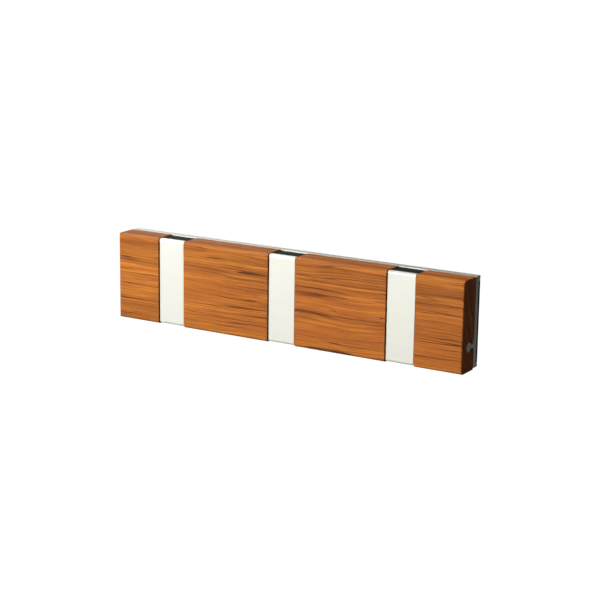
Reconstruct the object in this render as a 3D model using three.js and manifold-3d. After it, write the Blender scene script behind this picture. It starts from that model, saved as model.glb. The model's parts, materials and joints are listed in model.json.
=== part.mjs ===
// Wall coat rack: four wooden blocks and three fold-out hooks on one extruded aluminium rail.
// Millimetres. +X runs along the rack to the right, -Y is the front, +Z is up.
// The origin is the middle of the wall face: the wall is the plane y = 0.

import * as THREE from "three";
import * as BufferGeometryUtils from "three/addons/utils/BufferGeometryUtils.js";
import Module from "manifold-3d";

const wasm = await Module();
wasm.setup();

// ---- driving dimensions ----

const LENGTH = 300;
const HEIGHT = 68;
const HOOK_PITCH = 100;
const SLOT_WIDTH = 23.7;
const GAP = 0.3;
const ARC_STEP = 9;

// aluminium rail: a web with two feet at the wall and a round-nosed rib at the front
const WEB_FRONT = -6.5;
const WEB_BACK = -2.6;
const FOOT_HEIGHT = 3.5;
const PIVOT_Y = -14.7;
const PIVOT_Z = -15.8;
const BULB_RADIUS = 3.6;
const NECK_HALF = 1.4;
const NECK_FILLET = 2.5;

// wooden blocks
const WOOD_FRONT = -25.2;
const WOOD_BACK = WEB_FRONT - GAP;
const WOOD_EDGE_RADIUS = 2.6;
const GROOVE_HALF = BULB_RADIUS + 0.4;

// hooks
const HOOK_WIDTH = 22.5;
const HOOK_FRONT = -24.3;
const HOOK_THICKNESS = 4;
const HOOK_TOP = 33.8;
const HOOK_BOTTOM = -33.3;
const HOOK_EDGE_RADIUS = 1.8;
const HOOK_TOP_CHAMFER = 0.6;
const HEEL_CUT = 1.79;
const BARREL_OUTER = 7.2;
const BARREL_INNER = 4.85;
const BUSH_OUTER = 4.7;
const BUSH_INNER = 3.75;
const MOUTH_TOP = 28;
const MOUTH_BOTTOM = 285;
const DETENT_ANGLES = [45, 90];
const DETENT_HALF_ANGLE = 3.5;
const DETENT_DEPTH = 0.5;

// black housings behind the hooks
const HOUSING_WIDTH = 22.9;
const HOUSING_FRONT = -19.6;
const HOUSING_TOP = 33.4;
const HOUSING_BOTTOM = PIVOT_Z + 7.9;
const SPRING_POCKET = { width: 9, depth: 6.4, height: 7.4 };

// fasteners and their holes
const WALL_HOLE = { z: 20, radius: 2.6, headRadius: 5, accessRadius: 5.5, padRadius: 4 };
const SCREW = { headRadius: 3.4, shankRadius: 1.6, headDepth: 2.1, tip: -17.5 };
const BLOCK_SCREW_Z = 18;
const HOUSING_SCREW_Z = 3;

// rubber pieces
const CLOSING_BUMPER = { z: 28.5, radius: 4, front: -20.1, back: -18.7 };
const STOP_BUMPER = { width: 20, low: -33.2, high: -30.2, front: -7.3, back: -6.6 };

const HALF_LENGTH = LENGTH / 2;
const HALF_HEIGHT = HEIGHT / 2;
const STATIONS = { left: -HOOK_PITCH, middle: 0, right: HOOK_PITCH };

// ---- materials ----

const LOOKS = {
  wood: { color: 0xb8763f, roughness: 0.55, metalness: 0 },
  railAluminium: { color: 0xbfbfb6, roughness: 0.4, metalness: 1 },
  hookAluminium: { color: 0xebebdf, roughness: 0.35, metalness: 1 },
  blackPlastic: { color: 0x1c1c18, roughness: 0.5, metalness: 0 },
  bushPlastic: { color: 0x3a3a38, roughness: 0.4, metalness: 0 },
  foam: { color: 0x2f312c, roughness: 0.9, metalness: 0 },
  rubber: { color: 0x202020, roughness: 0.8, metalness: 0 },
  steel: { color: 0x9a9a98, roughness: 0.35, metalness: 1 },
};

const group = new THREE.Group();

function addMesh(name, geometry, look) {
  const mesh = new THREE.Mesh(geometry, new THREE.MeshStandardMaterial(LOOKS[look]));
  mesh.name = name;
  group.add(mesh);
  return mesh;
}

// ---- geometry helpers ----

const radians = THREE.MathUtils.degToRad;
const degrees = THREE.MathUtils.radToDeg;

// An arc of a section about (y, z), from one angle to another, in flats of ARC_STEP degrees or less.
function arc(shape, y, z, radius, fromDegrees, toDegrees) {
  const steps = Math.ceil(Math.abs(toDegrees - fromDegrees) / ARC_STEP);
  for (let step = 0; step <= steps; step += 1) {
    const angle = radians(fromDegrees + ((toDegrees - fromDegrees) * step) / steps);
    shape.lineTo(y + radius * Math.cos(angle), z + radius * Math.sin(angle));
  }
}

// A section drawn in (y, z) becomes a bar along X from x0 to x1.
function bar(shape, x0, x1) {
  const settings = { depth: x1 - x0, bevelEnabled: false };
  const geometry = new THREE.ExtrudeGeometry(shape, settings);
  const turn = new THREE.Matrix4().makeBasis(
    new THREE.Vector3(0, 1, 0),
    new THREE.Vector3(0, 0, 1),
    new THREE.Vector3(1, 0, 0)
  );
  geometry.applyMatrix4(turn);
  geometry.translate(x0, 0, 0);
  return geometry;
}

// A block between two corners.
function block(low, high) {
  const size = high.map((value, axis) => value - low[axis]);
  const geometry = new THREE.BoxGeometry(...size);
  geometry.translate(...low.map((value, axis) => value + size[axis] / 2));
  return geometry;
}

// A round rod along Y. The first radius is the one at y0.
function rod(x, z, y0, y1, radius0, radius1 = radius0, sides = 28) {
  const geometry = new THREE.CylinderGeometry(radius1, radius0, y1 - y0, sides);
  geometry.translate(x, (y0 + y1) / 2, z);
  return geometry;
}

function toSolid(geometry) {
  const bare = geometry.clone();
  bare.deleteAttribute("normal");
  bare.deleteAttribute("uv");
  const merged = BufferGeometryUtils.mergeVertices(bare, 1e-4);
  const mesh = new wasm.Mesh({
    numProp: 3,
    vertProperties: new Float32Array(merged.attributes.position.array),
    triVerts: new Uint32Array(merged.index.array),
  });
  return new wasm.Manifold(mesh);
}

function toGeometry(solid) {
  const mesh = solid.getMesh();
  const geometry = new THREE.BufferGeometry();
  geometry.setAttribute("position", new THREE.BufferAttribute(mesh.vertProperties, 3));
  geometry.setIndex(new THREE.BufferAttribute(mesh.triVerts, 1));
  geometry.computeVertexNormals();
  return geometry;
}

function cut(geometry, tools) {
  let solid = toSolid(geometry);
  for (const tool of tools) {
    solid = solid.subtract(toSolid(tool));
  }
  return toGeometry(solid);
}

// ---- layout along the rack ----

const slotHalf = SLOT_WIDTH / 2;
const blocks = {
  wood_block_left_end: [-HALF_LENGTH, STATIONS.left - slotHalf],
  wood_block_left_middle: [STATIONS.left + slotHalf, STATIONS.middle - slotHalf],
  wood_block_right_middle: [STATIONS.middle + slotHalf, STATIONS.right - slotHalf],
  wood_block_right_end: [STATIONS.right + slotHalf, HALF_LENGTH],
};

// One screw in the middle of a short block, two spread along a long one.
function blockScrewPlaces([x0, x1]) {
  const middle = (x0 + x1) / 2;
  const spread = (x1 - x0) * 0.31;
  return x1 - x0 < 50 ? [middle] : [middle - spread, middle + spread];
}

const blockScrewXs = Object.values(blocks).flatMap(blockScrewPlaces);
const stationXs = Object.values(STATIONS);

// ---- aluminium rail ----

function railShape() {
  const neckMeet = degrees(Math.asin(NECK_HALF / BULB_RADIUS));
  const filletY = WEB_FRONT - NECK_FILLET;
  const filletRise = NECK_HALF + NECK_FILLET;
  const shape = new THREE.Shape();
  shape.moveTo(0, HALF_HEIGHT);
  shape.lineTo(WEB_FRONT, HALF_HEIGHT);
  arc(shape, filletY, PIVOT_Z + filletRise, NECK_FILLET, 0, -90);
  arc(shape, PIVOT_Y, PIVOT_Z, BULB_RADIUS, neckMeet, 360 - neckMeet);
  arc(shape, filletY, PIVOT_Z - filletRise, NECK_FILLET, 90, 0);
  shape.lineTo(WEB_FRONT, -HALF_HEIGHT);
  shape.lineTo(0, -HALF_HEIGHT);
  shape.lineTo(0, -HALF_HEIGHT + FOOT_HEIGHT);
  shape.lineTo(WEB_BACK, -HALF_HEIGHT + FOOT_HEIGHT);
  shape.lineTo(WEB_BACK, HALF_HEIGHT - FOOT_HEIGHT);
  shape.lineTo(0, HALF_HEIGHT - FOOT_HEIGHT);
  shape.closePath();
  return shape;
}

// Countersunk clearance hole, opening at the back of the web, for a screw from behind.
function screwHole(x, z) {
  const headRadius = SCREW.headRadius + GAP;
  const shankRadius = SCREW.shankRadius + GAP;
  const headStart = WEB_BACK - 2 * GAP;
  return [
    rod(x, z, headStart, WEB_BACK + 1, headRadius),
    rod(x, z, headStart - SCREW.headDepth + 0.01, headStart + 0.01, shankRadius, headRadius),
    rod(x, z, WEB_FRONT - 1, WEB_BACK, shankRadius),
  ];
}

// Countersunk hole for the screw that goes into the wall, opening at the front of the web.
function wallHole(x) {
  const coneDepth = WALL_HOLE.headRadius - WALL_HOLE.radius;
  return [
    rod(x, WALL_HOLE.z, WEB_FRONT - 0.01, WEB_FRONT + coneDepth, WALL_HOLE.headRadius, WALL_HOLE.radius),
    rod(x, WALL_HOLE.z, WEB_FRONT - 1, 1, WALL_HOLE.radius),
  ];
}

const railCuts = [
  ...blockScrewXs.flatMap((x) => screwHole(x, BLOCK_SCREW_Z)),
  ...stationXs.flatMap((x) => screwHole(x, HOUSING_SCREW_Z)),
  ...stationXs.flatMap(wallHole),
];
addMesh("wall_rail", cut(bar(railShape(), -HALF_LENGTH, HALF_LENGTH), railCuts), "railAluminium");

// foam strip between the rail's feet, against the wall
const padReach = HALF_HEIGHT - FOOT_HEIGHT - GAP;
const padBar = block([-HALF_LENGTH, WEB_BACK + GAP, -padReach], [HALF_LENGTH, 0, padReach]);
const padCuts = stationXs.map((x) => rod(x, WALL_HOLE.z, WEB_BACK - 1, 1, WALL_HOLE.padRadius));
addMesh("wall_pad", cut(padBar, padCuts), "foam");

// ---- wooden blocks ----

// Rounded front edges, and a round-ended groove from the back that the rail's rib fills.
function woodShape() {
  const round = WOOD_EDGE_RADIUS;
  const shape = new THREE.Shape();
  shape.moveTo(WOOD_BACK, HALF_HEIGHT);
  arc(shape, WOOD_FRONT + round, HALF_HEIGHT - round, round, 90, 180);
  arc(shape, WOOD_FRONT + round, -HALF_HEIGHT + round, round, 180, 270);
  shape.lineTo(WOOD_BACK, -HALF_HEIGHT);
  shape.lineTo(WOOD_BACK, PIVOT_Z - GROOVE_HALF);
  arc(shape, PIVOT_Y, PIVOT_Z, GROOVE_HALF, 270, 90);
  shape.lineTo(WOOD_BACK, PIVOT_Z + GROOVE_HALF);
  shape.closePath();
  return shape;
}

for (const [name, [x0, x1]] of Object.entries(blocks)) {
  const holes = blockScrewPlaces([x0, x1]).map((x) =>
    rod(x, BLOCK_SCREW_Z, SCREW.tip - 1, WOOD_BACK + 1, SCREW.shankRadius + GAP)
  );
  addMesh(name, cut(bar(woodShape(), x0, x1), holes), "wood");
}

// ---- screws that come through the web from behind ----

function screw(x, z) {
  const headBack = WEB_BACK - 0.15;
  const headEnd = headBack - SCREW.headDepth;
  const profile = [
    [0, SCREW.tip],
    [0.5, SCREW.tip + 0.4],
    [SCREW.shankRadius, SCREW.tip + 2.4],
    [SCREW.shankRadius, headEnd],
    [SCREW.headRadius, headBack - 0.3],
    [SCREW.headRadius, headBack],
    [0, headBack],
  ];
  const points = profile.map(([radius, y]) => new THREE.Vector2(radius, y));
  const body = new THREE.LatheGeometry(points, 20);
  const driveAcross = block([-1.9, headBack - 1.1, -0.4], [1.9, headBack + 1, 0.4]);
  const driveUp = block([-0.4, headBack - 1.1, -1.9], [0.4, headBack + 1, 1.9]);
  const geometry = cut(body, [driveAcross, driveUp]);
  geometry.translate(x, 0, z);
  return geometry;
}

blockScrewXs.forEach((x, index) => {
  addMesh(`block_screw_${index + 1}`, screw(x, BLOCK_SCREW_Z), "steel");
});

// ---- hooks ----

// A point at an angle and radius about the pivot.
function aboutPivot(angleDegrees, radius) {
  const angle = radians(angleDegrees);
  return [PIVOT_Y + radius * Math.cos(angle), PIVOT_Z + radius * Math.sin(angle)];
}

// A flat plate with rounded front edges and a C-shaped barrel on its back.
// The barrel's outside has two small notches that a spring finds when shut and when open.
function hookShape() {
  const back = HOOK_FRONT + HOOK_THICKNESS;
  const round = HOOK_EDGE_RADIUS;
  const meet = degrees(Math.acos((back - PIVOT_Y) / BARREL_OUTER));
  const shape = new THREE.Shape();
  shape.moveTo(back, HOOK_TOP - HOOK_TOP_CHAMFER);
  shape.lineTo(back - HOOK_TOP_CHAMFER, HOOK_TOP);
  arc(shape, HOOK_FRONT + round, HOOK_TOP - round, round, 90, 180);
  arc(shape, HOOK_FRONT + round, HOOK_BOTTOM + round, round, 180, 270);
  shape.lineTo(back - HEEL_CUT, HOOK_BOTTOM);
  shape.lineTo(back, HOOK_BOTTOM + HEEL_CUT);
  arc(shape, PIVOT_Y, PIVOT_Z, BARREL_OUTER, 360 - meet, MOUTH_BOTTOM);
  arc(shape, PIVOT_Y, PIVOT_Z, BARREL_INNER, MOUTH_BOTTOM, MOUTH_TOP);
  let from = MOUTH_TOP;
  for (const notch of DETENT_ANGLES) {
    const edge = notch - DETENT_HALF_ANGLE;
    arc(shape, PIVOT_Y, PIVOT_Z, BARREL_OUTER, from, edge);
    shape.lineTo(...aboutPivot(notch, BARREL_OUTER - DETENT_DEPTH));
    from = notch + DETENT_HALF_ANGLE;
  }
  arc(shape, PIVOT_Y, PIVOT_Z, BARREL_OUTER, from, meet);
  shape.closePath();
  return shape;
}

// Plastic liner inside the barrel, riding on the rail's rib.
function bushShape() {
  const shape = new THREE.Shape();
  const top = MOUTH_TOP + 2;
  const bottom = MOUTH_BOTTOM - 2;
  shape.moveTo(...aboutPivot(top, BUSH_INNER));
  arc(shape, PIVOT_Y, PIVOT_Z, BUSH_OUTER, top, bottom);
  arc(shape, PIVOT_Y, PIVOT_Z, BUSH_INNER, bottom, top + ARC_STEP / 2);
  shape.closePath();
  return shape;
}

// ---- housings behind the hooks ----

function housingShape() {
  const shape = new THREE.Shape();
  const chamfer = 0.6;
  shape.moveTo(WOOD_BACK, HOUSING_TOP);
  shape.lineTo(HOUSING_FRONT + chamfer, HOUSING_TOP);
  shape.lineTo(HOUSING_FRONT, HOUSING_TOP - chamfer);
  shape.lineTo(HOUSING_FRONT, HOUSING_BOTTOM);
  shape.lineTo(WOOD_BACK, HOUSING_BOTTOM);
  shape.closePath();
  return shape;
}

function housing(x) {
  const halfWidth = HOUSING_WIDTH / 2;
  const pocket = SPRING_POCKET;
  return cut(bar(housingShape(), x - halfWidth, x + halfWidth), [
    rod(x, WALL_HOLE.z, HOUSING_FRONT - 1, WOOD_BACK + 1, WALL_HOLE.accessRadius, undefined, 36),
    rod(x, HOUSING_SCREW_Z, SCREW.tip - 1, WOOD_BACK + 1, SCREW.shankRadius + GAP),
    rod(x, CLOSING_BUMPER.z, HOUSING_FRONT - 1, CLOSING_BUMPER.back + GAP, CLOSING_BUMPER.radius + GAP),
    block(
      [x - pocket.width / 2, PIVOT_Y - pocket.depth / 2, HOUSING_BOTTOM - 1],
      [x + pocket.width / 2, PIVOT_Y + pocket.depth / 2, HOUSING_BOTTOM + pocket.height]
    ),
  ]);
}

// A strip of spring steel bent into a U, whose bend presses on the barrel.
function springShape() {
  const thickness = 0.5;
  const outer = 2.8;
  const inner = outer - thickness;
  const bendZ = PIVOT_Z + BARREL_OUTER + 0.25 + outer;
  const top = HOUSING_BOTTOM + SPRING_POCKET.height - GAP;
  const shape = new THREE.Shape();
  shape.moveTo(PIVOT_Y - outer, top);
  arc(shape, PIVOT_Y, bendZ, outer, 180, 360);
  shape.lineTo(PIVOT_Y + outer, top);
  shape.lineTo(PIVOT_Y + inner, top);
  arc(shape, PIVOT_Y, bendZ, inner, 360, 180);
  shape.lineTo(PIVOT_Y - inner, top);
  shape.closePath();
  return shape;
}

for (const [side, x] of Object.entries(STATIONS)) {
  const hookHalf = HOOK_WIDTH / 2;
  const springHalf = SPRING_POCKET.width / 2 - 0.5;
  const stop = STOP_BUMPER;
  const closing = CLOSING_BUMPER;
  const stopLow = [x - stop.width / 2, stop.front, stop.low];
  const stopHigh = [x + stop.width / 2, stop.back, stop.high];
  addMesh(`hook_${side}`, bar(hookShape(), x - hookHalf, x + hookHalf), "hookAluminium");
  addMesh(`pivot_bush_${side}`, bar(bushShape(), x - hookHalf, x + hookHalf), "bushPlastic");
  addMesh(`hook_housing_${side}`, housing(x), "blackPlastic");
  addMesh(`housing_screw_${side}`, screw(x, HOUSING_SCREW_Z), "steel");
  addMesh(`detent_spring_${side}`, bar(springShape(), x - springHalf, x + springHalf), "steel");
  addMesh(`closing_bumper_${side}`, rod(x, closing.z, closing.front, closing.back, closing.radius), "rubber");
  addMesh(`stop_bumper_${side}`, block(stopLow, stopHigh), "rubber");
}

export default group;
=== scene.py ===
"""Wall coat rack with three tip-out hooks: looks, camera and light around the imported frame."""

import json
import math

import bmesh
import bpy
from mathutils import Matrix, Vector


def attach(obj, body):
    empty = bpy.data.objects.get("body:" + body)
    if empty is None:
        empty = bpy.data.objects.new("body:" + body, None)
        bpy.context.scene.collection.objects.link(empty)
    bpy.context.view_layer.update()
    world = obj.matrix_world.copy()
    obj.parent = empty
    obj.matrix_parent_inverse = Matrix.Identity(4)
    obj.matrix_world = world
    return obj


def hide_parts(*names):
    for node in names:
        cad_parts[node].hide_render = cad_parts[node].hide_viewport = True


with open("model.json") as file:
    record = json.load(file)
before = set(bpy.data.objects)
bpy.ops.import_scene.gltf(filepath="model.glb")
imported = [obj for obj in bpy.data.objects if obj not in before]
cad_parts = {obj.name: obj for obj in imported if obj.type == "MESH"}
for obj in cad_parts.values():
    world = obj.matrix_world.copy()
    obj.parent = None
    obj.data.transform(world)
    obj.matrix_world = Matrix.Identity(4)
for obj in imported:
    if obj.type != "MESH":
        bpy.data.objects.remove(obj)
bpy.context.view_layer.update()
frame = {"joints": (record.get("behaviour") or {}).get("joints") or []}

# ---- sizes and places, in millimetres, the same as the solids' unless a comment says so ----

MM = 0.001
hinges = frame["joints"]
SIDES = {hinge["name"].split("_")[0]: hinge["pos_m"][0] / MM for hinge in hinges}
PIVOT_Y, PIVOT_Z = (part / MM for part in hinges[0]["pos_m"][1:])
PITCH = SIDES["right"] - SIDES["middle"]
HALF_LENGTH = 150.0
HALF_HEIGHT = 34.0
GAP = 0.3
SLOT_HALF = 11.85

WEB_FRONT, WEB_BACK = -6.5, -2.6
FOOT = 3.5
RAIL_BOTTOM = -33.0  # the solid's is level with the wood, 1 mm lower
BULB = 3.6
NECK_HALF, NECK_FILLET = 1.4, 2.5
WALL_HOLE_Z, WALL_HOLE, WALL_HOLE_HEAD = 20.0, 2.6, 5.0

WOOD_FRONT, WOOD_BACK = -25.2, -6.8
FRONT_EDGE = 2.6
OUTER_EDGE = 1.6  # the solids' outer upright edges are sharp
GROOVE = BULB + 0.4
BLOCK_SCREW_Z, HOUSING_SCREW_Z = 18.0, 3.0
SCREW_TIP, SCREW_HEAD, SCREW_SHANK = -17.5, 3.4, 1.6
HEAD_HEIGHT = 2.1

HOOK_FRONT, HOOK_BACK = -24.3, -20.3
HOOK_TOP, HOOK_BOTTOM = 33.8, -33.3
HOOK_HALF = 11.25
HEEL_CUT = 1.79
BARREL_OUTER, BARREL_INNER = 7.2, 4.85
BUSH_OUTER, BUSH_INNER = 4.7, 3.75
MOUTH_TOP, MOUTH_BOTTOM = 28.0, 285.0  # degrees round the barrel
NOTCHES = (45, 90)  # degrees round the barrel, one for the shut hook and one for the open one

HOUSING_HALF = 11.45
HOUSING_FRONT, HOUSING_TOP = -19.6, 33.4
HOUSING_BOTTOM = PIVOT_Z + 7.9
SCREW_WAY = 5.5
SPRING_HALF, SPRING_BEND, SPRING_THICKNESS = 4.0, 2.8, 0.5
POCKET_TOP = HOUSING_BOTTOM + 7.4
BUMPER_Z, BUMPER_RADIUS = 28.5, 4.0
BUMPER_FRONT, BUMPER_BACK = -20.1, -18.7
STOP_HALF, STOP_BOTTOM, STOP_TOP = 10.0, -33.2, -30.2
STOP_FRONT, STOP_BACK = -7.3, -6.6

BLOCKS = {
    "wood_block_left_end": (-HALF_LENGTH, -PITCH - SLOT_HALF),
    "wood_block_left_middle": (-PITCH + SLOT_HALF, -SLOT_HALF),
    "wood_block_right_middle": (SLOT_HALF, PITCH - SLOT_HALF),
    "wood_block_right_end": (PITCH + SLOT_HALF, HALF_LENGTH),
}


# ---- mesh helpers ----


SHARP_ANGLE = 38
NORMAL_WEIGHT = 80
TINY = 1e-6


def face_outwards(bm):
    """Turns every face outwards. A closed mesh that is inside out has a negative volume."""
    bmesh.ops.recalc_face_normals(bm, faces=bm.faces)
    if bm.calc_volume(signed=True) < 0:
        bmesh.ops.reverse_faces(bm, faces=bm.faces)


def new_object(name, bm):
    """An object from a bmesh, still in millimetres."""
    face_outwards(bm)
    mesh = bpy.data.meshes.new(name)
    bm.to_mesh(mesh)
    bm.free()
    obj = bpy.data.objects.new(name, mesh)
    bpy.context.scene.collection.objects.link(obj)
    return obj


def shade(obj):
    """Smooth shading, with the edges past SHARP_ANGLE kept sharp."""
    for face in obj.data.polygons:
        face.use_smooth = True
    obj.data.set_sharp_from_angle(angle=math.radians(SHARP_ANGLE))
    weighted = obj.modifiers.new("weighted", "WEIGHTED_NORMAL")
    weighted.keep_sharp = True
    weighted.weight = NORMAL_WEIGHT


def around(y, z, radius, degrees):
    """The point at an angle on a circle in the (y, z) section."""
    angle = math.radians(degrees)
    return y + radius * math.cos(angle), z + radius * math.sin(angle)


def arc(y, z, radius, start, end, step):
    """Points of an arc in the (y, z) section, from start to end in degrees, step or less apart."""
    count = max(2, math.ceil(abs(end - start) / step))
    turns = [start + (end - start) * index / count for index in range(count + 1)]
    return [around(y, z, radius, degrees) for degrees in turns]


def eased(corners, step=15.0):
    """Replaces each corner (y, z, radius) of a closed section by a small arc."""
    points = []
    total = len(corners)
    for index, (y, z, radius) in enumerate(corners):
        here = Vector((y, z))
        before = (Vector(corners[index - 1][:2]) - here).normalized()
        after = (Vector(corners[(index + 1) % total][:2]) - here).normalized()
        if radius <= 0:
            points.append((y, z))
            continue
        half = before.angle(after) / 2
        reach = radius / math.tan(half)
        centre = here + (before + after).normalized() * (radius / math.sin(half))
        first = here + before * reach - centre
        last = here + after * reach - centre
        turn = first.angle_signed(last)
        count = max(1, math.ceil(abs(math.degrees(turn)) / step))
        for part in range(count + 1):
            angle = -turn * part / count
            spoke = Matrix.Rotation(angle, 2) @ first
            points.append(tuple(centre + spoke))
    return points


def eased_corner(before, corner, after, radius, step=15.0):
    """Only the arc that rounds a corner between its two neighbours."""
    return eased([(*before, 0), (*corner, radius), (*after, 0)], step)[1:-1]


def inset(points, distance):
    """The closed section drawn in by a distance, with mitred corners."""
    area = 0.0
    for index, (y, z) in enumerate(points):
        next_y, next_z = points[(index + 1) % len(points)]
        area += y * next_z - next_y * z
    sign = 1.0 if area > 0 else -1.0
    result = []
    for index, point in enumerate(points):
        here = Vector(point)
        before = here - Vector(points[index - 1])
        after = Vector(points[(index + 1) % len(points)]) - here
        normals = [Vector((-d.y, d.x)).normalized() * sign for d in (before, after)]
        middle = (normals[0] + normals[1]).normalized()
        stretch = min(2.0, 1.0 / max(0.2, middle.dot(normals[0])))
        result.append(tuple(here + middle * distance * stretch))
    return result


def tidy(points):
    """Drops points that fall on the one before them."""
    near = 1e-3
    kept = []
    for point in points:
        if not kept or (Vector(point) - Vector(kept[-1])).length > near:
            kept.append(point)
    if (Vector(kept[0]) - Vector(kept[-1])).length < near:
        kept.pop()
    return kept


def bridge(bm, first, second):
    """Faces between two rings with the same number of points."""
    for index in range(len(first)):
        after = (index + 1) % len(first)
        bm.faces.new((first[index], first[after], second[after], second[index]))


def prism(name, section, x0, x1, edge, steps):
    """A bar along X from a (y, z) section, with its end edges rounded by edge."""
    section = tidy(section)
    rings = []
    for index in range(steps + 1):
        angle = math.pi / 2 * (1 - index / steps)
        rings.append((x0 + edge * (1 - math.sin(angle)), edge * (1 - math.cos(angle))))
    rings += [(x0 + x1 - x, depth) for x, depth in reversed(rings)]
    bm = bmesh.new()
    loops = []
    for x, depth in rings:
        points = inset(section, depth) if depth > TINY else section
        loops.append([bm.verts.new((x, y, z)) for y, z in points])
    for first, second in zip(loops, loops[1:]):
        bridge(bm, first, second)
    caps = [bm.faces.new(loops[0]), bm.faces.new(list(reversed(loops[-1])))]
    bm.normal_update()
    bmesh.ops.triangulate(bm, faces=caps, ngon_method="EAR_CLIP")
    return new_object(name, bm)


def ring_at(bm, x, y, z, radius, sides):
    """A ring of points about the line along Y at (x, z)."""
    ring = []
    for index in range(sides):
        angle = 2 * math.pi * index / sides
        place = (x + radius * math.cos(angle), y, z + radius * math.sin(angle))
        ring.append(bm.verts.new(place))
    return ring


def lathe(name, profile, x, z, sides):
    """A round solid about the line along Y at (x, z). Its (radius, y) profile starts and ends on it."""
    bm = bmesh.new()
    loops = []
    for radius, y in profile:
        on_line = radius < TINY
        loops.append([bm.verts.new((x, y, z))] if on_line else ring_at(bm, x, y, z, radius, sides))
    for first, second in zip(loops[1:-1], loops[2:-1]):
        bridge(bm, first, second)
    for index in range(sides):
        after = (index + 1) % sides
        bm.faces.new((loops[0][0], loops[1][after], loops[1][index]))
        bm.faces.new((loops[-2][index], loops[-2][after], loops[-1][0]))
    return new_object(name, bm)


def box(name, low, high, edge, segments=3):
    """A block with its edges rounded."""
    bm = bmesh.new()
    bmesh.ops.create_cube(bm, size=1)
    size = [b - a for a, b in zip(low, high)]
    middle = [(a + b) / 2 for a, b in zip(low, high)]
    bmesh.ops.scale(bm, vec=size, verts=bm.verts)
    bmesh.ops.translate(bm, vec=middle, verts=bm.verts)
    edges = bm.edges[:]
    bmesh.ops.bevel(bm, geom=edges, offset=edge, segments=segments, profile=0.5, affect="EDGES")
    return new_object(name, bm)


def bake(obj):
    """Applies the object's modifiers to its mesh."""
    graph = bpy.context.evaluated_depsgraph_get()
    mesh = bpy.data.meshes.new_from_object(obj.evaluated_get(graph))
    old = obj.data
    obj.modifiers.clear()
    obj.data = mesh
    mesh.name = obj.name
    bpy.data.meshes.remove(old)


def carve(obj, cutters, operation="DIFFERENCE"):
    """Cuts the object by the cutters, or keeps what they share, and throws the cutters away."""
    for cutter in cutters:
        modifier = obj.modifiers.new("cut", "BOOLEAN")
        modifier.operation = operation
        modifier.solver = "MANIFOLD"
        modifier.object = cutter
    bake(obj)
    bm = bmesh.new()
    bm.from_mesh(obj.data)
    face_outwards(bm)
    bm.to_mesh(obj.data)
    bm.free()
    for cutter in cutters:
        mesh = cutter.data
        bpy.data.objects.remove(cutter)
        bpy.data.meshes.remove(mesh)


# ---- material helpers ----


class Nodes:
    """Short calls for building a node tree."""

    def __init__(self, tree):
        self.tree = tree

    def add(self, kind, inputs=None, **settings):
        made = self.tree.nodes.new(kind)
        for key, value in settings.items():
            setattr(made, key, value)
        for key, value in (inputs or {}).items():
            self.put(made.inputs[key], value)
        return made

    def put(self, socket, value):
        if isinstance(value, bpy.types.NodeSocket):
            self.tree.links.new(value, socket)
        else:
            socket.default_value = value

    def math(self, operation, a, b=0.0):
        return self.add("ShaderNodeMath", {0: a, 1: b}, operation=operation).outputs[0]

    def times(self, a, b):
        return self.math("MULTIPLY", a, b)

    def plus(self, a, b):
        return self.math("ADD", a, b)

    def scaled(self, vector, by):
        """The vector with each coordinate multiplied, which squeezes or stretches a pattern."""
        made = self.add("ShaderNodeVectorMath", {0: vector, 1: by}, operation="MULTIPLY")
        return made.outputs[0]

    def noise(self, vector, scale, detail, roughness, distortion=0.0):
        inputs = {
            "Vector": vector,
            "Scale": scale,
            "Detail": detail,
            "Roughness": roughness,
            "Distortion": distortion,
        }
        return self.add("ShaderNodeTexNoise", inputs).outputs["Fac"]

    def ramp(self, value, stops):
        """A colour ramp. Each stop is a place and a grey level or an (r, g, b) colour."""
        made = self.add("ShaderNodeValToRGB", {"Fac": value})
        elements = made.color_ramp.elements
        while len(elements) < len(stops):
            elements.new(0.5)
        for element, (place, colour) in zip(elements, stops):
            element.position = place
            grey = isinstance(colour, (int, float))
            element.color = (colour, colour, colour, 1) if grey else (*colour, 1)
        return made.outputs["Color"]

    def mix(self, factor, a, b, blend="MIX"):
        made = self.add("ShaderNodeMix", data_type="RGBA", blend_type=blend)
        self.put(made.inputs[0], factor)
        self.put(made.inputs[6], a)
        self.put(made.inputs[7], b)
        return made.outputs[2]

    def shaded(self, base, factor):
        """The colour multiplied by a factor, which may be a colour too."""
        return self.mix(1.0, base, factor, "MULTIPLY")

    def bump(self, height, strength, distance):
        inputs = {"Height": height, "Strength": strength, "Distance": distance}
        return self.add("ShaderNodeBump", inputs).outputs["Normal"]


def opaque(colour, factor=1.0):
    """An (r, g, b) colour times a factor, with its alpha."""
    return (*(part * factor for part in colour), 1)


def new_material(name):
    """A material with a Principled shader, its helper, and its coordinates in millimetres."""
    material = bpy.data.materials.new(name)
    material.use_nodes = True
    nodes = Nodes(material.node_tree)
    shader = material.node_tree.nodes["Principled BSDF"]
    place = nodes.add("ShaderNodeTexCoord").outputs["Object"]
    place = nodes.scaled(place, (1 / MM, 1 / MM, 1 / MM))
    return material, nodes, shader, place


def wear_of(nodes):
    """1 on outer edges, 0 elsewhere."""
    point = nodes.add("ShaderNodeNewGeometry").outputs["Pointiness"]
    return nodes.ramp(point, [(0.52, 0), (0.6, 1)])


# ---- materials ----


WOOD_LIGHT = (0.75, 0.255, 0.034)
WOOD_DARK = (0.45, 0.133, 0.02)
WOOD_FINE = (0.32, 0.09, 0.017)
WOOD_THIN_LINE = (0.2, 0.055, 0.013)
WOOD_LINE = (0.11, 0.03, 0.01)
WOOD_PORE = (0.16, 0.05, 0.016)
BOARD_HEIGHT = 72


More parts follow.
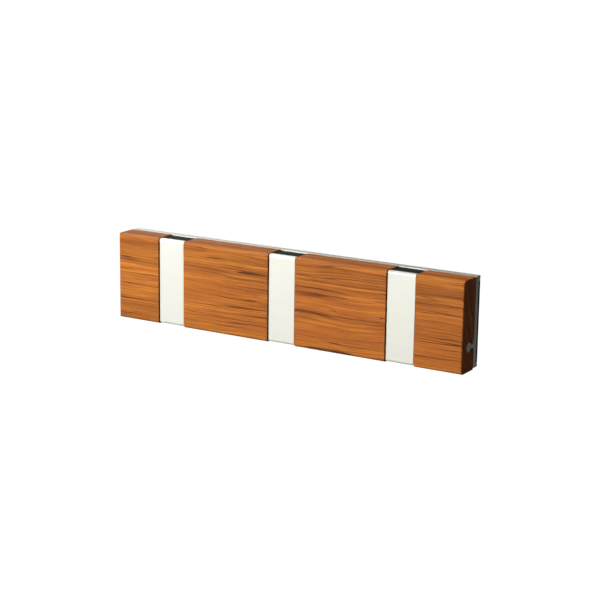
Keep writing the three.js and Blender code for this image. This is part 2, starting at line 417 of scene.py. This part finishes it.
def growth_rings(nodes, moved):
    """Coordinates in which the growth rings lie flat: they tilt, drift and wander in the board."""
    drift = nodes.noise(nodes.scaled(moved, (0.010, 0.03, 0.03)), 1, 1, 0.5)
    wander = nodes.noise(nodes.scaled(moved, (0.035, 0.08, 0.08)), 1, 2, 0.5)
    split = nodes.add("ShaderNodeSeparateXYZ", {0: moved})
    tilted = nodes.plus(nodes.times(split.outputs["Z"], 0.36), nodes.times(split.outputs["Y"], 0.93))
    growth = nodes.plus(nodes.plus(tilted, nodes.times(drift, 3.0)), nodes.times(wander, 0.7))
    along = nodes.times(split.outputs["X"], 0.005)
    ringed = {0: along, 1: growth, 2: nodes.times(drift, 2.0)}
    return nodes.add("ShaderNodeCombineXYZ", ringed).outputs[0]


def long_grain_colour(nodes, moved, ringed):
    """Broad and fine bands of colour, then thin lines, then short dark lines that come and go."""
    broad = nodes.noise(nodes.scaled(ringed, (0.7, 0.2, 1)), 1, 2, 0.5)
    fine = nodes.noise(nodes.scaled(ringed, (2.2, 3.6, 1)), 1, 3, 0.6)
    thin = nodes.noise(nodes.scaled(ringed, (1.7, 1.7, 1)), 1, 1, 0.5)
    coarse = nodes.noise(nodes.scaled(ringed, (0.8, 0.85, 1)), 1, 1, 0.5)
    fade = nodes.noise(nodes.scaled(moved, (0.014, 0.16, 0.16)), 1, 2, 0.5)
    bands = nodes.ramp(broad, [(0.36, 0), (0.62, 1)])
    fine_bands = nodes.ramp(fine, [(0.4, 0), (0.64, 0.62)])
    thin_lines = nodes.ramp(thin, [(0.48, 0), (0.57, 1), (0.6, 0)])
    lines = nodes.ramp(coarse, [(0.52, 0), (0.57, 0.55), (0.58, 1), (0.6, 1), (0.612, 0)])
    lines = nodes.times(lines, nodes.ramp(fade, [(0.36, 0.3), (0.55, 1.0)]))
    base = nodes.mix(bands, opaque(WOOD_LIGHT), opaque(WOOD_DARK))
    base = nodes.mix(fine_bands, base, opaque(WOOD_FINE))
    base = nodes.mix(nodes.times(thin_lines, 0.5), base, opaque(WOOD_THIN_LINE))
    return nodes.mix(nodes.times(lines, 0.95), base, opaque(WOOD_LINE))


def end_grain_colour(nodes, moved, base):
    """The same colour, but speckled and darker on the faces that look along X."""
    facing = nodes.add("ShaderNodeTexCoord").outputs["Normal"]
    across = nodes.math("ABSOLUTE", nodes.add("ShaderNodeSeparateXYZ", {0: facing}).outputs["X"])
    end = nodes.ramp(across, [(0.55, 0), (0.9, 1)])
    speckle = nodes.noise(moved, 1.6, 3, 0.6)
    end_tone = nodes.ramp(speckle, [(0.35, (0.42, 0.36, 0.2)), (0.65, (0.78, 0.66, 0.36))])
    return nodes.mix(end, base, nodes.shaded(base, end_tone))


def wood_material(name, shift, painted_light_level, dark_foot=0.17):
    """Oiled brown wood with its grain along X.

    shift picks the place in the board. tone is painted light: a brightness for each block that evens
    out how the lamps light the rack along its length. dark_foot is how far up the board, from 0 to 1,
    the painted shade at its foot fades out.
    """
    material, nodes, shader, place = new_material(name)
    moved = nodes.add("ShaderNodeVectorMath", {0: place, 1: shift}, operation="ADD").outputs[0]
    height = nodes.add("ShaderNodeSeparateXYZ", {0: moved}).outputs["Z"]
    level = nodes.plus(nodes.math("DIVIDE", height, BOARD_HEIGHT), 0.5)
    # painted shade: the board darker at its foot, and in a band across its upper front below the
    # lighter top
    foot = [(0.03, 0.72), (dark_foot, 1)]
    painted_shade = nodes.ramp(level, foot + [(0.66, 1), (0.75, 0.82), (0.94, 0.82), (0.97, 0.97)])
    fibre = nodes.noise(nodes.scaled(moved, (0.05, 1.3, 1.3)), 1, 5, 0.65, 0.3)
    pores = nodes.noise(nodes.scaled(moved, (0.14, 3.2, 3.2)), 1, 2, 0.5)
    pores = nodes.ramp(pores, [(0.6, 0), (0.7, 1)])
    base = long_grain_colour(nodes, moved, growth_rings(nodes, moved))
    base = nodes.shaded(base, painted_shade)
    base = nodes.mix(nodes.times(pores, 0.35), base, opaque(WOOD_PORE))
    base = nodes.shaded(base, nodes.ramp(fibre, [(0.3, 0.82), (0.7, 1.14)]))
    base = end_grain_colour(nodes, moved, base)
    # painted light: the block's colour scaled by a brightness of its own, evening out how the lamps
    # light the rack
    nodes.put(shader.inputs["Base Color"], nodes.shaded(base, (painted_light_level, painted_light_level, painted_light_level, 1)))
    nodes.put(shader.inputs["Roughness"], nodes.ramp(fibre, [(0.25, 0.46), (0.75, 0.6)]))
    shader.inputs["Specular IOR Level"].default_value = 0.12
    relief = nodes.math("SUBTRACT", fibre, nodes.times(pores, 0.5))
    nodes.put(shader.inputs["Normal"], nodes.bump(relief, 0.25, 0.0001))
    return material


def aluminium_material(name, colour, roughness, metallic, along):
    """Satin anodised extrusion. along stretches its fine draw lines."""
    material, nodes, shader, place = new_material(name)
    lines = nodes.noise(nodes.scaled(place, along), 1, 4, 0.6)
    cloud = nodes.noise(place, 0.05, 2, 0.5)
    grain = nodes.noise(place, 9, 2, 0.5)
    drawn = nodes.ramp(lines, [(0.3, 0), (0.7, 1)])
    base = nodes.mix(drawn, opaque(colour, 0.965), opaque(colour))
    base = nodes.mix(nodes.times(cloud, 0.1), base, opaque(colour, 0.85))
    base = nodes.mix(nodes.times(wear_of(nodes), 0.5), base, opaque((0.93, 0.93, 0.92)))
    nodes.put(shader.inputs["Base Color"], base)
    shader.inputs["Metallic"].default_value = metallic
    spread = nodes.times(nodes.math("SUBTRACT", lines, 0.5), 0.16)
    nodes.put(shader.inputs["Roughness"], nodes.plus(spread, roughness))
    relief = nodes.plus(lines, nodes.times(grain, 0.6))
    nodes.put(shader.inputs["Normal"], nodes.bump(relief, 0.12, 0.00003))
    return material


def moulded_material(name, colour, roughness, grain_scale, strength):
    """Moulded plastic with an even spark-eroded texture."""
    material, nodes, shader, place = new_material(name)
    grain = nodes.noise(place, grain_scale, 3, 0.6)
    cloud = nodes.noise(place, 0.12, 3, 0.55)
    lighter = tuple(part * 1.8 + 0.004 for part in colour)
    rubbed = tuple(part * 3 + 0.01 for part in colour)
    base = nodes.mix(nodes.times(cloud, 0.6), opaque(colour), opaque(lighter))
    base = nodes.mix(nodes.times(wear_of(nodes), 0.35), base, opaque(rubbed))
    nodes.put(shader.inputs["Base Color"], base)
    spread = nodes.times(nodes.math("SUBTRACT", grain, 0.5), 0.25)
    nodes.put(shader.inputs["Roughness"], nodes.plus(spread, roughness))
    nodes.put(shader.inputs["Normal"], nodes.bump(grain, strength, 0.00006))
    shader.inputs["Specular IOR Level"].default_value = 0.12
    return material


def foam_and_shade_material(name):
    """Closed-cell foam: small round cells and a slight mottling. Nearly black, which also paints the
    shade inside the rail's back channel.
    """
    material, nodes, shader, place = new_material(name)
    cells = nodes.add("ShaderNodeTexVoronoi", {"Vector": place, "Scale": 1.7}).outputs["Distance"]
    cloud = nodes.noise(place, 0.08, 3, 0.6)
    rims = nodes.ramp(cells, [(0.1, 0), (0.6, 1)])
    base = nodes.mix(rims, opaque((0.02, 0.022, 0.02)), opaque((0.045, 0.05, 0.043)))
    base = nodes.mix(nodes.times(cloud, 0.5), base, opaque((0.06, 0.063, 0.056)))
    nodes.put(shader.inputs["Base Color"], base)
    nodes.put(shader.inputs["Roughness"], nodes.ramp(cloud, [(0.3, 0.8), (0.7, 0.95)]))
    nodes.put(shader.inputs["Normal"], nodes.bump(cells, 0.5, 0.0002))
    return material


def steel_material(name):
    """Bright zinc-plated steel with soft blotches."""
    material, nodes, shader, place = new_material(name)
    blotch = nodes.noise(place, 0.9, 4, 0.6)
    lines = nodes.noise(nodes.scaled(place, (2.2, 0.2, 2.2)), 1, 4, 0.6)
    blotches = nodes.ramp(blotch, [(0.35, 0), (0.65, 1)])
    base = nodes.mix(blotches, opaque((0.52, 0.52, 0.5)), opaque((0.66, 0.66, 0.68)))
    base = nodes.mix(nodes.times(wear_of(nodes), 0.5), base, opaque((0.85, 0.85, 0.84)))
    nodes.put(shader.inputs["Base Color"], base)
    shader.inputs["Metallic"].default_value = 1.0
    nodes.put(shader.inputs["Roughness"], nodes.ramp(blotch, [(0.3, 0.28), (0.7, 0.42)]))
    nodes.put(shader.inputs["Normal"], nodes.bump(lines, 0.15, 0.00003))
    return material


# the third number of each block is painted light, a brightness that evens out how the lamps light the
# rack; a fourth is how far up its painted foot shade reaches
WOODS = {
    "wood_block_left_end": wood_material("wood_left_end", (37.0, 11.0, 3.0), 0.97, 0.5),
    "wood_block_left_middle": wood_material("wood_left_middle", (52.0, 11.2, 3.5), 1.0),
    "wood_block_right_middle": wood_material("wood_right_middle", (71.0, 11.0, 2.0), 1.08),
    "wood_block_right_end": wood_material("wood_right_end", (93.0, 11.3, 4.0), 1.06),
}
RAIL_METAL = aluminium_material("rail_aluminium", (0.54, 0.525, 0.44), 0.54, 0.6, (0.02, 2.2, 2.2))
HOOK_METAL = aluminium_material("hook_aluminium", (0.82, 0.815, 0.725), 0.4, 0.3, (0.04, 1.8, 1.8))
BLACK = moulded_material("black_plastic", (0.006, 0.0068, 0.0062), 0.7, 3.2, 0.35)
ACETAL = moulded_material("bush_plastic", (0.06, 0.06, 0.058), 0.35, 1.2, 0.12)
RUBBER = moulded_material("rubber", (0.014, 0.014, 0.014), 0.78, 2.0, 0.4)
FOAM_AND_SHADE = foam_and_shade_material("foam")
STEEL = steel_material("steel")


def finish_piece(obj, material, body, slot, *nodes):
    """Turns a piece into metres, gives it its material, ties it to its CAD body, and hides the CAD
    nodes it stands in for.
    """
    obj.data.transform(Matrix.Scale(MM, 4))
    shade(obj)
    obj.data.materials.clear()
    obj.data.materials.append(material)
    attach(obj, body)
    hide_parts(*nodes)


# ---- camera, as the solids' edges are seen from it ----


CAMERA_AZIMUTH, CAMERA_ELEVATION, CAMERA_ROLL = 31.075, 13.502, 0.835
CAMERA_DISTANCE = 1232.3
CAMERA_TARGET = (16.627, WOOD_FRONT, 2.534)
CAMERA_LENS, CAMERA_SENSOR = 100.24, 36


def towards(azimuth, elevation):
    """The direction seen from the rack at these degrees: azimuth 0 is its front, 90 its right end."""
    a, e = math.radians(azimuth), math.radians(elevation)
    return Vector((math.sin(a) * math.cos(e), -math.cos(a) * math.cos(e), math.sin(e)))


def add_camera():
    back = towards(CAMERA_AZIMUTH, CAMERA_ELEVATION)
    roll = math.radians(CAMERA_ROLL)
    level = (-back).cross(Vector((0, 0, 1))).normalized()
    upright = level.cross(-back).normalized()
    right = level * math.cos(roll) + upright * math.sin(roll)
    up = upright * math.cos(roll) - level * math.sin(roll)
    data = bpy.data.cameras.new("camera")
    data.sensor_width = CAMERA_SENSOR
    data.lens = CAMERA_LENS
    camera = bpy.data.objects.new("camera", data)
    bpy.context.scene.collection.objects.link(camera)
    turn = Matrix((right, up, back)).transposed().to_4x4()
    place = (Vector(CAMERA_TARGET) + back * CAMERA_DISTANCE) * MM
    camera.matrix_world = Matrix.Translation(place) @ turn
    bpy.context.scene.camera = camera


add_camera()


# ---- aluminium rail ----


RELIEF = 0.15  # half the width of the small chamfer where a hole opens


def web_screw_cutter(x, z):
    """A countersunk hole that opens at the back of the web."""
    head_start = WEB_BACK - 2 * GAP
    wide = SCREW_HEAD + GAP
    narrow = SCREW_SHANK + GAP
    profile = [
        (0, WEB_FRONT - 1),
        (narrow, WEB_FRONT - 1),
        (narrow, head_start - HEAD_HEIGHT),
        (wide, head_start),
        (wide, WEB_BACK - RELIEF),
        (wide + 2 * RELIEF, WEB_BACK + RELIEF),
        (wide + 2 * RELIEF, WEB_BACK + 1),
        (0, WEB_BACK + 1),
    ]
    return lathe("cutter", profile, x, z, 40)


def wall_hole_cutter(x):
    """A countersunk hole for the wall screw, that opens at the front of the web."""
    sink = WALL_HOLE_HEAD - WALL_HOLE
    profile = [
        (0, WEB_FRONT - 1),
        (WALL_HOLE_HEAD + RELIEF, WEB_FRONT - 1),
        (WALL_HOLE_HEAD + RELIEF, WEB_FRONT - RELIEF),
        (WALL_HOLE_HEAD, WEB_FRONT),
        (WALL_HOLE, WEB_FRONT + sink),
        (WALL_HOLE, WEB_BACK - RELIEF),
        (WALL_HOLE + 2 * RELIEF, WEB_BACK + RELIEF),
        (WALL_HOLE + 2 * RELIEF, WEB_BACK + 1),
        (0, WEB_BACK + 1),
    ]
    return lathe("cutter", profile, x, WALL_HOLE_Z, 40)


def screw_places(x0, x1):
    """One screw in the middle of a short block, two in a long one."""
    middle = (x0 + x1) / 2
    spread = (x1 - x0) * 0.31
    return [middle] if x1 - x0 < PITCH / 2 else [middle - spread, middle + spread]


BLOCK_SCREW_XS = [x for ends in BLOCKS.values() for x in screw_places(*ends)]


def rail_section():
    """The web with its two feet, and the neck and round rib on its front."""
    front_edge, back_edge, foot_edge = 0.45, 0.35, 0.25
    above_rib, below_rib = (WEB_FRONT, 0), (WEB_FRONT, -20.0)
    inner = HALF_HEIGHT - FOOT
    web = eased([
        (0, HALF_HEIGHT, back_edge),
        (WEB_FRONT, HALF_HEIGHT, front_edge),
        (*above_rib, 0),
        (*below_rib, 0),
        (WEB_FRONT, RAIL_BOTTOM, front_edge),
        (0, RAIL_BOTTOM, back_edge),
        (0, -inner, foot_edge),
        (WEB_BACK, -inner, 0),
        (WEB_BACK, inner, 0),
        (0, inner, foot_edge),
    ])
    meet = math.degrees(math.asin(NECK_HALF / BULB))
    fillet_y = WEB_FRONT - NECK_FILLET
    rise = NECK_HALF + NECK_FILLET
    rib = arc(fillet_y, PIVOT_Z + rise, NECK_FILLET, 0, -90, 10)
    rib += arc(PIVOT_Y, PIVOT_Z, BULB, meet, 360 - meet, 6)
    rib += arc(fillet_y, PIVOT_Z - rise, NECK_FILLET, 90, 0, 10)
    return web[: web.index(above_rib) + 1] + rib + web[web.index(below_rib) + 1 :]


def make_rail():
    rail = prism("rail", rail_section(), -HALF_LENGTH, HALF_LENGTH, 0.18, 2)
    cutters = [web_screw_cutter(x, BLOCK_SCREW_Z) for x in BLOCK_SCREW_XS]
    cutters += [web_screw_cutter(x, HOUSING_SCREW_Z) for x in SIDES.values()]
    cutters += [wall_hole_cutter(x) for x in SIDES.values()]
    carve(rail, cutters)
    finish_piece(rail, RAIL_METAL, "rack", "rail_aluminium", "wall_rail")


make_rail()


# ---- foam strip, dark as painted shade in the rail's back channel ----


def make_pad():
    """A dark strip of foam in the back of the rail, with a hole round each wall screw. Its dark colour
    is also painted shade for the channel behind the web.
    """
    reach = HALF_HEIGHT - FOOT - GAP
    front, edge, hole = WEB_BACK + GAP, 0.3, 4.0
    corners = [(front, -reach, edge), (0, -reach, edge), (0, reach, edge), (front, reach, edge)]
    pad = prism("foam_and_shade_strip", eased(corners), -HALF_LENGTH, HALF_LENGTH, 0.2, 2)
    wide = hole + edge
    profile = [(0, -4), (hole, -4), (hole, -edge), (wide, 0.02), (wide, 1), (0, 1)]
    carve(pad, [lathe("cutter", profile, x, WALL_HOLE_Z, 40) for x in SIDES.values()])
    finish_piece(pad, FOAM_AND_SHADE, "rack", "foam", "wall_pad")


make_pad()


# ---- wooden blocks ----


def wood_section():
    """A board with rounded long front edges, and a round-ended groove for the rail's rib."""
    back_edge, mouth_edge = 0.4, 0.5
    top_back, low_back = (WOOD_BACK, HALF_HEIGHT), (WOOD_BACK, -HALF_HEIGHT)
    mouth_top, mouth_low = (WOOD_BACK, PIVOT_Z + GROOVE), (WOOD_BACK, PIVOT_Z - GROOVE)
    front, top = WOOD_FRONT + FRONT_EDGE, HALF_HEIGHT - FRONT_EDGE
    points = eased_corner((WOOD_BACK, 20), top_back, (front, HALF_HEIGHT), back_edge)
    points += arc(front, top, FRONT_EDGE, 90, 180, 9)
    points += arc(front, -top, FRONT_EDGE, 180, 270, 9)
    points += eased_corner((front, -HALF_HEIGHT), low_back, mouth_low, back_edge)
    points += eased_corner(low_back, mouth_low, (PIVOT_Y, PIVOT_Z - GROOVE), mouth_edge)
    points += arc(PIVOT_Y, PIVOT_Z, GROOVE, 270, 90, 9)
    points += eased_corner((PIVOT_Y, PIVOT_Z + GROOVE), mouth_top, top_back, mouth_edge)
    return points


def round_outer_end(wood, x0, x1):
    """Rounds the upright edge at the rack's end, and leaves the rest as it is."""
    beyond = 10
    left = x0 if x0 == -HALF_LENGTH else x0 - beyond
    right = x1 if x1 == HALF_LENGTH else x1 + beyond
    reach = HALF_HEIGHT + beyond
    keep = box("cutter", (left, WOOD_FRONT, -reach), (right, beyond, reach), OUTER_EDGE, 6)
    carve(wood, [keep], "INTERSECT")


def make_wood(name, x0, x1):
    """One block, with a blind hole for each of its screws."""
    wood = prism(name.replace("wood_block", "block"), wood_section(), x0, x1, 0.3, 3)
    if HALF_LENGTH in (-x0, x1):
        round_outer_end(wood, x0, x1)
    hole, behind = SCREW_SHANK + GAP, WOOD_BACK + 1.8
    profile = [(0, SCREW_TIP - 1), (hole, SCREW_TIP), (hole, behind), (0, behind)]
    carve(wood, [lathe("cutter", profile, x, BLOCK_SCREW_Z, 24) for x in screw_places(x0, x1)])
    finish_piece(wood, WOODS[name], "rack", "wood", name)


for block_name, block_ends in BLOCKS.items():
    make_wood(block_name, *block_ends)


# ---- screws ----


THREAD_PITCH, THREAD_CORE, THREAD_DEPTH = 1.1, 1.12, 0.46
POINT_LENGTH, PLAIN_LENGTH = 2.6, 0.8
SCREW_SIDES, THREAD_ROWS = 32, 120
SCREW_HEAD_BACK = WEB_BACK - 0.15
SCREW_HEAD_FRONT = SCREW_HEAD_BACK - HEAD_HEIGHT


def thread_radius(y, turn):
    """The radius at y and at a part turn: pointed at the tip, threaded, and plain by the head."""
    taper = min(1.0, (y - SCREW_TIP + 0.15) / POINT_LENGTH)
    threaded = min(1.0, max(0.0, (SCREW_HEAD_FRONT - y) / PLAIN_LENGTH))
    phase = (y / THREAD_PITCH - turn) % 1.0
    crest = max(0.0, 1 - abs(phase - 0.5) * 4.2)
    return (THREAD_CORE + THREAD_DEPTH * crest * threaded) * taper + (1 - threaded) * 0.3


def screw_ring(bm, y, radius_at):
    """A ring of points at y. radius_at gives the radius at a part turn."""
    ring = []
    for index in range(SCREW_SIDES):
        turn = index / SCREW_SIDES
        angle = 2 * math.pi * turn
        radius = radius_at(turn)
        ring.append(bm.verts.new((radius * math.cos(angle), y, radius * math.sin(angle))))
    return ring


def make_screw_mesh():
    """A countersunk wood screw with a helical thread and a cross recess, at x = z = 0."""
    bm = bmesh.new()
    loops = []
    for row in range(THREAD_ROWS + 1):
        y = SCREW_TIP + (SCREW_HEAD_FRONT - SCREW_TIP) * row / THREAD_ROWS
        loops.append(screw_ring(bm, y, lambda turn: thread_radius(y, turn)))
    head = [
        (SCREW_SHANK, HEAD_HEIGHT),
        (SCREW_HEAD - 0.1, 0.35),
        (SCREW_HEAD, 0.25),
        (SCREW_HEAD, 0.06),
        (SCREW_HEAD - 0.06, 0),
    ]
    for radius, depth in head:
        loops.append(screw_ring(bm, SCREW_HEAD_BACK - depth + 1e-4, lambda turn: radius))
    for first, second in zip(loops, loops[1:]):
        bridge(bm, first, second)
    bm.faces.new(loops[0])
    bm.faces.new(list(reversed(loops[-1])))
    screw = new_object("screw", bm)
    long, thin, deep = 1.9, 0.42, SCREW_HEAD_BACK - 1.1
    out = SCREW_HEAD_BACK + 1
    arms = [
        box("cutter", (-long, deep, -thin), (long, out, thin), 0.12),
        box("cutter", (-thin, deep, -long), (thin, out, long), 0.12),
    ]
    carve(screw, arms)
    mesh = screw.data
    bpy.data.objects.remove(screw)
    return mesh


SCREW_MESH = make_screw_mesh()


def make_screw(name, x, z, node):
    mesh = SCREW_MESH.copy()
    mesh.transform(Matrix.Translation((x, 0, z)))
    screw = bpy.data.objects.new(name, mesh)
    bpy.context.scene.collection.objects.link(screw)
    finish_piece(screw, STEEL, "rack", "steel", node)


for number, screw_x in enumerate(BLOCK_SCREW_XS, 1):
    make_screw(f"wood_screw_{number}", screw_x, BLOCK_SCREW_Z, f"block_screw_{number}")
for side, station in SIDES.items():
    make_screw(f"rear_screw_{side}", station, HOUSING_SCREW_Z, f"housing_screw_{side}")
bpy.data.meshes.remove(SCREW_MESH)


# ---- hooks ----


def hook_section():
    """The plate's outline, then the barrel's, with the detent notches in its top."""
    front_edge, top_edge, heel_edge = 1.8, 0.6, 0.5
    notch_half, notch_flat, notch_depth, lip = 3.5, 0.6, 0.47, 1.5
    front = HOOK_FRONT + front_edge
    meet = math.degrees(math.acos((HOOK_BACK - PIVOT_Y) / BARREL_OUTER))
    top_back = (HOOK_BACK, HOOK_TOP)
    heel_low, heel_back = (HOOK_BACK - HEEL_CUT, HOOK_BOTTOM), (HOOK_BACK, HOOK_BOTTOM + HEEL_CUT)
    points = eased_corner((HOOK_BACK, 0), top_back, (front, HOOK_TOP), top_edge, 10)
    points += arc(front, HOOK_TOP - front_edge, front_edge, 90, 180, 7)
    points += arc(front, HOOK_BOTTOM + front_edge, front_edge, 180, 270, 7)
    points += eased_corner((front, HOOK_BOTTOM), heel_low, heel_back, heel_edge)
    points += eased_corner(heel_low, heel_back, (HOOK_BACK, 0), heel_edge)
    points += arc(PIVOT_Y, PIVOT_Z, BARREL_OUTER, 360 - meet, MOUTH_BOTTOM - lip, 5)
    points += arc(PIVOT_Y, PIVOT_Z, BARREL_INNER, MOUTH_BOTTOM, MOUTH_TOP, 5)
    start = MOUTH_TOP + lip
    for notch in NOTCHES:
        points += arc(PIVOT_Y, PIVOT_Z, BARREL_OUTER, start, notch - notch_half, 5)
        for side in (-notch_flat, notch_flat):
            points.append(around(PIVOT_Y, PIVOT_Z, BARREL_OUTER - notch_depth, notch + side))
        start = notch + notch_half
    points += arc(PIVOT_Y, PIVOT_Z, BARREL_OUTER, start, meet, 5)
    return points


def bush_section():
    """A C that lines the barrel, set back a little from its mouth."""
    top, bottom = MOUTH_TOP + 2, MOUTH_BOTTOM - 2
    points = arc(PIVOT_Y, PIVOT_Z, BUSH_OUTER, top, bottom, 5)
    return points + arc(PIVOT_Y, PIVOT_Z, BUSH_INNER, bottom, top, 5)


def spring_section():
    """A strip bent to a U, open at the top, just clear of the barrel."""
    outer, inner = SPRING_BEND, SPRING_BEND - SPRING_THICKNESS
    bend = PIVOT_Z + BARREL_OUTER + 0.25 + outer
    top = POCKET_TOP - GAP
    points = [(PIVOT_Y - outer, top)]
    points += arc(PIVOT_Y, bend, outer, 180, 360, 6)
    points += [(PIVOT_Y + outer, top), (PIVOT_Y + inner, top)]
    points += arc(PIVOT_Y, bend, inner, 360, 180, 6)
    points += [(PIVOT_Y - inner, top)]
    return points


def bumper_profile():
    """A round rubber foot with a shallow groove round its face."""
    groove, edge = 0.15, BUMPER_RADIUS - 0.15
    return [
        (0, BUMPER_FRONT),
        (1.2, BUMPER_FRONT),
        (1.5, BUMPER_FRONT + groove),
        (1.8, BUMPER_FRONT),
        (BUMPER_RADIUS - 0.6, BUMPER_FRONT),
        (edge, BUMPER_FRONT + groove),
        (BUMPER_RADIUS, BUMPER_FRONT + 0.5),
        (BUMPER_RADIUS, BUMPER_BACK - 0.2),
        (BUMPER_RADIUS - 0.2, BUMPER_BACK),
        (0, BUMPER_BACK),
    ]


def housing_cutters(x):
    """The screw way, the screw's hole, the bumper's seat, the spring's pocket, a panel and a notch."""
    seat, hole = BUMPER_RADIUS + GAP, SCREW_SHANK + GAP
    out, behind, seat_back = HOUSING_FRONT - 1.4, WOOD_BACK + 1.8, BUMPER_BACK + GAP
    way_profile = [
        (0, out),
        (SCREW_WAY + 0.4, out),
        (SCREW_WAY + 0.4, HOUSING_FRONT - 0.15),
        (SCREW_WAY, HOUSING_FRONT + 0.25),
        (SCREW_WAY, behind),
        (0, behind),
    ]
    hole_profile = [(0, SCREW_TIP - 1), (hole, SCREW_TIP - 1), (hole, behind), (0, behind)]
    seat_profile = [
        (0, out),
        (seat + 0.15, out),
        (seat + 0.15, HOUSING_FRONT - 0.15),
        (seat, HOUSING_FRONT + 0.1),
        (seat, seat_back),
        (0, seat_back),
    ]
    pocket_x, pocket_y = SPRING_HALF + 0.5, SPRING_BEND + 0.4
    pocket_low = (x - pocket_x, PIVOT_Y - pocket_y, HOUSING_BOTTOM - 2)
    pocket_high = (x + pocket_x, PIVOT_Y + pocket_y, POCKET_TOP)
    panel_low = (x - 8.8, HOUSING_FRONT - 0.9, -3.4)
    panel_high = (x + 8.8, HOUSING_FRONT + 0.7, 11.2)
    notch_low = (x - 8.9, WOOD_BACK - 1.8, HOUSING_TOP - 1.8)
    notch_high = (x - 7.6, WOOD_BACK + 1.8, HOUSING_TOP + 1.6)
    return [
        lathe("cutter", way_profile, x, WALL_HOLE_Z, 64),
        lathe("cutter", hole_profile, x, HOUSING_SCREW_Z, 24),
        lathe("cutter", seat_profile, x, BUMPER_Z, 48),
        box("cutter", pocket_low, pocket_high, 0.4),
        box("cutter", panel_low, panel_high, 0.45),
        box("cutter", notch_low, notch_high, 0.1),
    ]


def make_housing(side, x):
    """The moulded block that fills the slot behind a hook, above its barrel."""
    edge, top_front_edge = 0.5, 0.8
    corners = [
        (WOOD_BACK, HOUSING_TOP, edge),
        (HOUSING_FRONT, HOUSING_TOP, top_front_edge),
        (HOUSING_FRONT, HOUSING_BOTTOM, edge),
        (WOOD_BACK, HOUSING_BOTTOM, edge),
    ]
    section = eased(corners, 10)
    housing = prism(f"housing_{side}", section, x - HOUSING_HALF, x + HOUSING_HALF, 0.35, 3)
    carve(housing, housing_cutters(x))
    finish_piece(housing, BLACK, "rack", "black_plastic", f"hook_housing_{side}")


def make_station(side, x):
    """One hook with its bush, and what stands behind it on the rail."""
    moving = f"{side}_hook"
    hook = prism(f"hook_plate_{side}", hook_section(), x - HOOK_HALF, x + HOOK_HALF, 0.35, 3)
    finish_piece(hook, HOOK_METAL, moving, "hook_aluminium", f"hook_{side}")
    bush = prism(f"bush_{side}", bush_section(), x - HOOK_HALF, x + HOOK_HALF, 0.15, 2)
    finish_piece(bush, ACETAL, moving, "bush_plastic", f"pivot_bush_{side}")
    make_housing(side, x)
    spring = prism(f"spring_{side}", spring_section(), x - SPRING_HALF, x + SPRING_HALF, 0.08, 2)
    finish_piece(spring, STEEL, "rack", "steel", f"detent_spring_{side}")
    closing = lathe(f"closing_rubber_{side}", bumper_profile(), x, BUMPER_Z, 48)
    finish_piece(closing, RUBBER, "rack", "rubber", f"closing_bumper_{side}")
    stop_low = (x - STOP_HALF, STOP_FRONT, STOP_BOTTOM)
    stop_high = (x + STOP_HALF, STOP_BACK, STOP_TOP)
    stop = box(f"stop_rubber_{side}", stop_low, stop_high, 0.22)
    finish_piece(stop, RUBBER, "rack", "rubber", f"stop_bumper_{side}")


for side, station in SIDES.items():
    make_station(side, station)


# ---- floor, backdrop and light ----


BACKDROP_RADIUS = 12.0
FLOOR_LEVEL = -1.5
FLOOR_RADIUS = 11.88
STAGE_COLOUR = (0.98, 0.98, 0.98, 1)
STAGE_GLOW = 0.94
WORLD_LIGHT = 0.13


def stage_material(name):
    """Pale and slightly glowing, just bright enough to show as white."""
    material = bpy.data.materials.new(name)
    material.use_nodes = True
    shader = material.node_tree.nodes["Principled BSDF"]
    shader.inputs["Base Color"].default_value = STAGE_COLOUR
    shader.inputs["Roughness"].default_value = 0.9
    shader.inputs["Emission Color"].default_value = STAGE_COLOUR
    shader.inputs["Emission Strength"].default_value = STAGE_GLOW
    return material


def add_stage():
    """A pale floor far below the rack, and a pale round backdrop. Neither lights the object."""
    bm = bmesh.new()
    bmesh.ops.create_circle(bm, cap_ends=True, segments=96, radius=FLOOR_RADIUS)
    floor = bpy.data.objects.new("floor", bpy.data.meshes.new("floor"))
    bm.to_mesh(floor.data)
    bm.free()
    floor.location.z = FLOOR_LEVEL
    bm = bmesh.new()
    bmesh.ops.create_uvsphere(bm, u_segments=64, v_segments=32, radius=BACKDROP_RADIUS)
    dome = bpy.data.objects.new("backdrop", bpy.data.meshes.new("backdrop"))
    bm.to_mesh(dome.data)
    bm.free()
    for obj in (floor, dome):
        bpy.context.scene.collection.objects.link(obj)
        obj.data.materials.append(stage_material(obj.name + "_pale"))
        obj.visible_diffuse = False
        obj.visible_glossy = False
        obj.visible_shadow = False


def add_area(name, azimuth, elevation, distance, size, power):
    """A soft light aimed at the rack, with its distance and size in metres."""
    back = towards(azimuth, elevation)
    data = bpy.data.lights.new(name, "AREA")
    data.shape = "RECTANGLE"
    data.size, data.size_y = size
    data.energy = power
    light = bpy.data.objects.new(name, data)
    bpy.context.scene.collection.objects.link(light)
    light.rotation_mode = "QUATERNION"
    light.rotation_quaternion = (-back).to_track_quat("-Z", "Y")
    light.location = back * distance
    light.visible_camera = False


def add_world():
    world = bpy.data.worlds.new("world")
    bpy.context.scene.world = world
    world.use_nodes = True
    background = world.node_tree.nodes["Background"]
    background.inputs["Color"].default_value = (1, 1, 1, 1)
    background.inputs["Strength"].default_value = WORLD_LIGHT


add_stage()
add_world()
add_area("key", -38, 22, 1.5, (1.3, 1.0), 31.5)
add_area("front", -4, 8, 1.8, (1.2, 1.2), 7)
add_area("rear_top", -120, 40, 1.1, (0.8, 0.6), 5)
bpy.context.scene.view_settings.view_transform = "Standard"
